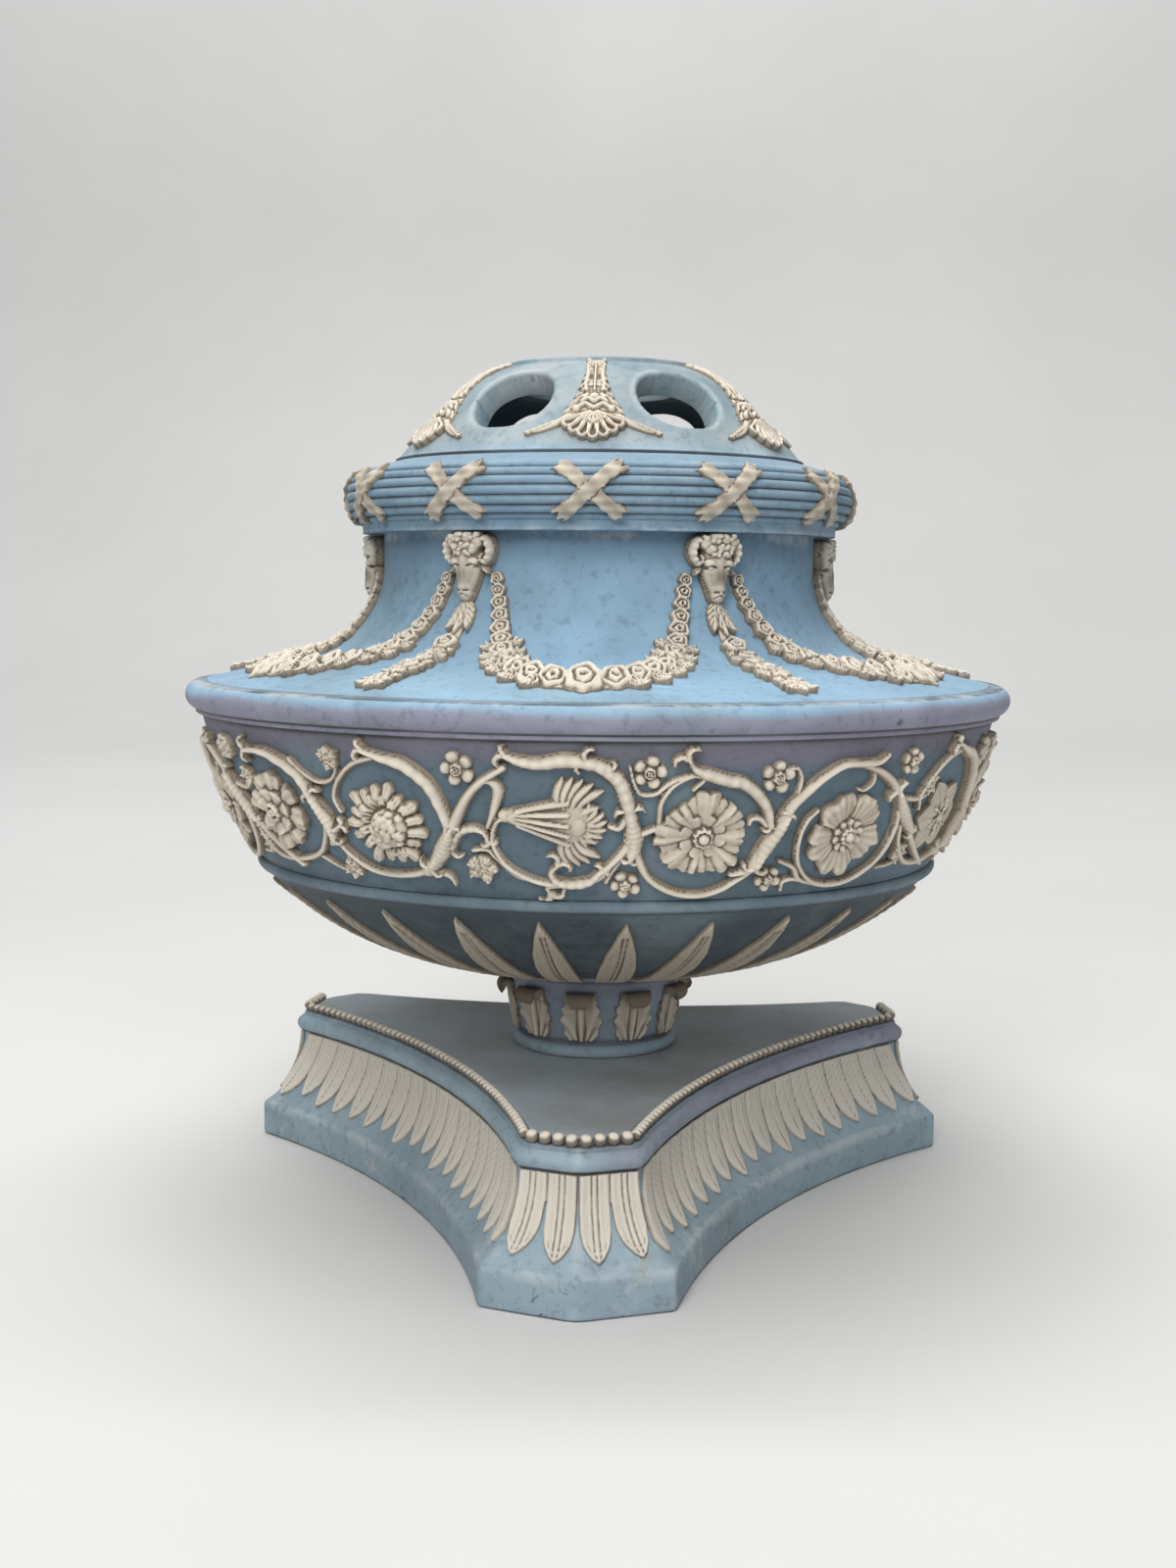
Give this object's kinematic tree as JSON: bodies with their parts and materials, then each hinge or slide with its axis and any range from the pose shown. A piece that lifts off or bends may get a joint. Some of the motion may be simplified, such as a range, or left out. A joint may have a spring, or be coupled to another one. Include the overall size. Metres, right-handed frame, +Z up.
{
  "type": "potpourri vase",
  "caption": "Wide two-tone stoneware potpourri vase with moulded relief friezes, a reeded collar and a lift-off pierced cover, on a waisted stem and a three-prowed plinth.",
  "frame": {"origin": "centre of the plinth's foot on the table, on the axis of the vase", "axes": "+Z up along the axis of the vase, -Y towards the front prow, +X to the viewer's right"},
  "size_m": [0.25, 0.25, 0.2518],
  "materials": {
    "blue_body": "matt unglazed stoneware, light blue",
    "cream_relief": "matt unglazed sprigged relief, cream with dirt in the recesses",
    "iron": "plain dark iron",
    "leather": "brown leather washer"
  },
  "bodies": {
    "vase": {"plinth": "blue_body", "plinth_bead_string": "cream_relief", "plinth_side_leaves": "cream_relief", "plinth_prow_leaves": "cream_relief", "stem": "blue_body", "stem_acanthus_leaves": "cream_relief", "bowl": "blue_body", "bowl_ray_leaves": "cream_relief", "frieze_scroll_vine": "cream_relief", "frieze_leaf_sheaths": "cream_relief", "frieze_florets": "cream_relief", "frieze_vine_leaves": "cream_relief", "frieze_anemones": "cream_relief", "frieze_sunflowers": "cream_relief", "frieze_bellflowers": "cream_relief", "frieze_peonies": "cream_relief", "frieze_wild_roses": "cream_relief", "frieze_lilies": "cream_relief", "shoulder": "blue_body", "ram_heads": "cream_relief", "flower_swags": "cream_relief", "pendant_drops": "cream_relief", "reeded_collar": "blue_body", "ribbon_ties": "cream_relief", "tie_bolt": "iron", "head_washer": "leather", "foot_washer": "iron", "tie_nut": "iron"},
    "cover": {"pierced_cover": "blue_body", "cover_palmettes": "cream_relief"}
  },
  "joints": [
    {"name": "cover_lift", "type": "slide", "parent": "vase", "child": "cover", "axis": [0, 0, 1], "range_m": [0, 0.12]}
  ]
}
